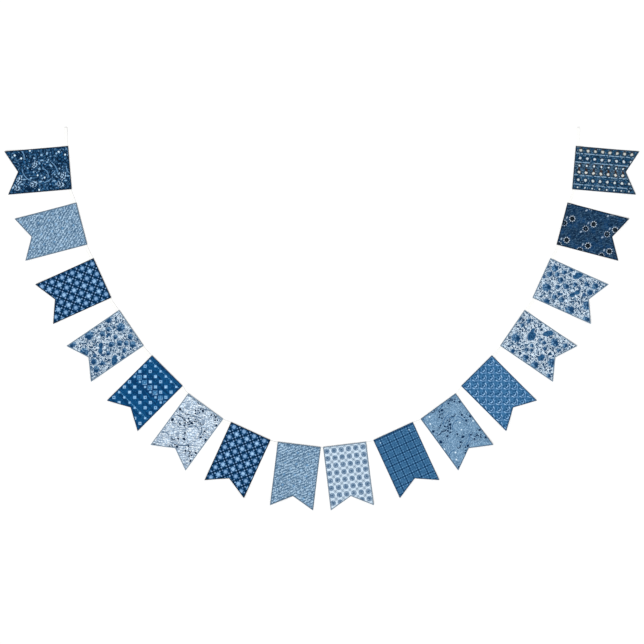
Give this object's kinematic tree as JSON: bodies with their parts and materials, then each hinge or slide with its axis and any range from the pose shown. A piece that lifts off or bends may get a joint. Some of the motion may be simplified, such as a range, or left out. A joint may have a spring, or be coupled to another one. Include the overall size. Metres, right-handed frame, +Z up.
{
  "type": "fabric bunting",
  "caption": "Swag of printed cloth flags with notched swallowtail ends, sewn by their top edges along one narrow woven tape whose free ends are pinned or tied.",
  "frame": {"origin": "on the surface that the bunting lies on, at the middle of the box round its outline", "axes": "+X across the swag to the right, +Y up the swag towards the tape's free ends, +Z up from the surface"},
  "size_m": [2.0478, 1.2348, 0.0044],
  "materials": {
    "vine_navy": "matt printed cotton, navy with vines and pale seeds",
    "streak_pale": "matt printed cotton, pale blue with fine slanting streaks",
    "lattice_navy": "matt printed cotton, navy lattice with pale blossoms",
    "bloom_white": "matt printed cotton, white with blue blooms and leaves",
    "diamond_blue": "matt printed cotton, blue with small light diamonds",
    "sprig_white": "matt printed cotton, blue-white with fine twigs and specks",
    "rosette_pale": "matt printed cotton, pale blue with rows of rosettes",
    "check_blue": "matt printed cotton, blue with a fine dark check",
    "sprig_blue": "matt printed cotton, light blue with dark twigs and specks",
    "scallop_blue": "matt printed cotton, blue with small light crescents",
    "daisy_navy": "matt printed cotton, mottled dark navy with ring daisies",
    "bead_stripe": "matt printed cotton, blue with lengthwise rows of beads",
    "tape": "matt white woven cotton"
  },
  "bodies": {
    "root": {"flag_01": "vine_navy", "flag_02": "streak_pale", "flag_03": "lattice_navy", "flag_04": "bloom_white", "flag_05": "diamond_blue", "flag_06": "sprig_white", "flag_07": "lattice_navy", "flag_08": "streak_pale", "flag_09": "rosette_pale", "flag_10": "check_blue", "flag_11": "sprig_blue", "flag_12": "scallop_blue", "flag_13": "bloom_white", "flag_14": "bloom_white", "flag_15": "daisy_navy", "flag_16": "bead_stripe", "tape": "tape"}
  },
  "joints": []
}
